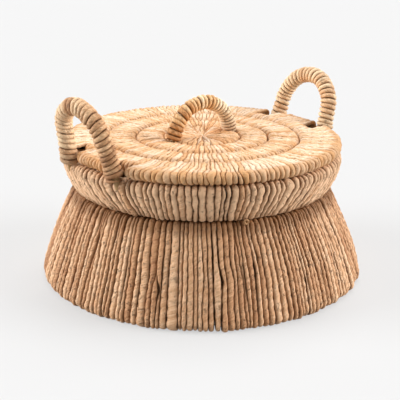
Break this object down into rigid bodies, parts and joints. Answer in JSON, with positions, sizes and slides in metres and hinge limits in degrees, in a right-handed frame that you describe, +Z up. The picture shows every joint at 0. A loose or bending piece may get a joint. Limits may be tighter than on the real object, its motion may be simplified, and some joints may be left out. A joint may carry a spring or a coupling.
{
  "type": "tortilla warmer",
  "caption": "Round lidded basket of rush cord wound over wire hoops, with a flared skirt, a narrow waist, leaning bow side handles and a flat notched lid with its own bow handle.",
  "frame": {"origin": "on the surface that the basket stands on, under the basket's centre", "axes": "+X runs from the left handle to the right handle, +Z is up, and the pictured front faces -Y"},
  "size_m": [0.3, 0.3, 0.1809],
  "materials": {
    "rush_cord": "twisted rush cord, matte, tan",
    "lid_cord": "twisted rush cord, matte, pale straw",
    "handle_cord": "twisted rush cord wound tight, matte, straw",
    "lacing": "thin twisted rush twine, matte",
    "cane_core": "bent cane, matte",
    "wire": "plain drawn steel wire"
  },
  "bodies": {
    "basket": {"skirt_cord": "rush_cord", "collar_cord": "rush_cord", "floor_centre_cord": "rush_cord", "floor_band_1_cord": "rush_cord", "floor_band_2_cord": "rush_cord", "floor_band_3_cord": "rush_cord", "left_handle_cord": "handle_cord", "right_handle_cord": "handle_cord", "base_hoop": "wire", "skirt_top_hoop": "wire", "collar_bottom_hoop": "wire", "rim_hoop": "wire", "skirt_struts": "wire", "collar_struts": "wire", "floor_centre_hoop": "wire", "floor_band_1_inner_hoop": "wire", "floor_band_1_outer_hoop": "wire", "floor_band_1_struts": "wire", "floor_band_2_inner_hoop": "wire", "floor_band_2_outer_hoop": "wire", "floor_band_2_struts": "wire", "floor_band_3_inner_hoop": "wire", "floor_band_3_outer_hoop": "wire", "floor_band_3_struts": "wire", "left_handle_core": "cane_core", "right_handle_core": "cane_core", "waist_lacing": "lacing", "floor_lacings": "lacing"},
    "lid": {"lid_centre_cord": "lid_cord", "lid_band_1_cord": "lid_cord", "lid_band_2_cord": "lid_cord", "lid_rim_cord": "lid_cord", "lid_handle_cord": "handle_cord", "lid_centre_hoop": "wire", "lid_band_1_inner_hoop": "wire", "lid_band_1_outer_hoop": "wire", "lid_band_1_struts": "wire", "lid_band_2_inner_hoop": "wire", "lid_band_2_outer_hoop": "wire", "lid_band_2_struts": "wire", "lid_rim_inner_hoop": "wire", "lid_rim_wires": "wire", "lid_handle_core": "cane_core", "lid_lacings": "lacing"}
  },
  "joints": [
    {"name": "lid_lift", "type": "slide", "parent": "basket", "child": "lid", "axis": [0, 0, 1], "range_m": [0, 0.08]}
  ]
}
